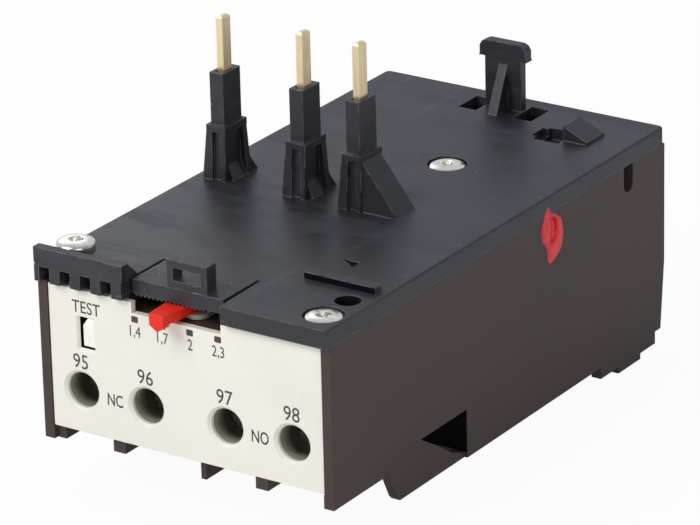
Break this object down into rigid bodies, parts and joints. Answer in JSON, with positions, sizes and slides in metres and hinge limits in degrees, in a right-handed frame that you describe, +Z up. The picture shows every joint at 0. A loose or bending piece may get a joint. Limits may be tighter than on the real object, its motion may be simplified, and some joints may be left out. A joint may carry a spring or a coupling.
{
  "type": "thermal overload relay",
  "caption": "Plug-in overload relay: flat dark moulded case with a pale front panel, sleeved contact pins, rear hook and a setting lever.",
  "frame": {"origin": "middle of the overall box at the level of the lowest foot", "axes": "+X across the width to the right as seen from the front panel, +Y from the front panel to the rear wall, +Z up along the contact pins"},
  "size_m": [0.0451, 0.085, 0.0549],
  "materials": {
    "base_plastic": "moulded thermoset, fine matt grain",
    "cover_plastic": "moulded thermoplastic, satin with flow marks",
    "panel_plastic": "cream moulding with dark grey printing",
    "red_plastic": "satin red",
    "grey_plastic": "light grey moulding",
    "white_plastic": "white moulding",
    "zinc_steel": "zinc plated",
    "tinned_brass": "pale tinned brass",
    "contact_brass": "rolled brass strip",
    "bimetal": "rolled strip",
    "heater_wrap": "glass sleeve wound with resistance wire",
    "red_lacquer": "dried sealing lacquer"
  },
  "bodies": {
    "housing": {"base_housing": "base_plastic", "top_cover": "cover_plastic", "front_panel": "panel_plastic", "cover_screws": "zinc_steel", "aux_screws": "zinc_steel", "load_screws": "zinc_steel", "calibration_screw": "zinc_steel", "lacquer_seal": "red_lacquer", "line_pin_1": "tinned_brass", "bimetal_1": "bimetal", "heater_1": "heater_wrap", "load_strap_1": "contact_brass", "line_pin_2": "tinned_brass", "bimetal_2": "bimetal", "heater_2": "heater_wrap", "load_strap_2": "contact_brass", "line_pin_3": "tinned_brass", "bimetal_3": "bimetal", "heater_3": "heater_wrap", "load_strap_3": "contact_brass", "aux_strap_95": "contact_brass", "aux_strap_96": "contact_brass", "aux_strap_97": "contact_brass", "aux_strap_98": "contact_brass"},
    "setting": {"setting_lever": "red_plastic", "setting_cam": "grey_plastic"},
    "test": {"test_key": "white_plastic"},
    "slide": {"trip_slide": "grey_plastic"},
    "lever": {"trip_lever": "grey_plastic"},
    "carrier": {"contact_carrier": "white_plastic", "nc_bridge": "contact_brass", "no_bridge": "contact_brass"}
  },
  "joints": [
    {"name": "setting_turn", "type": "hinge", "parent": "housing", "child": "setting", "pos_m": [-0.001, -0.0258, 0.0285], "axis": [0, 0, 1], "range_deg": [-17.9, 25.1]},
    {"name": "test_press", "type": "slide", "parent": "housing", "child": "test", "axis": [0, 1, 0], "range_m": [0, 0.0015], "stiffness_N_per_m": 300},
    {"name": "slide_push", "type": "slide", "parent": "housing", "child": "slide", "axis": [1, 0, 0], "range_m": [0, 0.002], "stiffness_N_per_m": 200},
    {"name": "lever_swing", "type": "hinge", "parent": "housing", "child": "lever", "pos_m": [0.009, 0.0045, 0.0251], "axis": [0, 0, 1], "range_deg": [-7.7, 0]},
    {"name": "carrier_lift", "type": "slide", "parent": "housing", "child": "carrier", "axis": [0, 1, 0], "range_m": [0, 0.0012]}
  ],
  "couplings": [
    {"joint": "lever_swing", "follows": "slide_push", "rad_per_m": -66.323},
    {"joint": "carrier_lift", "follows": "slide_push", "ratio": 0.6}
  ]
}
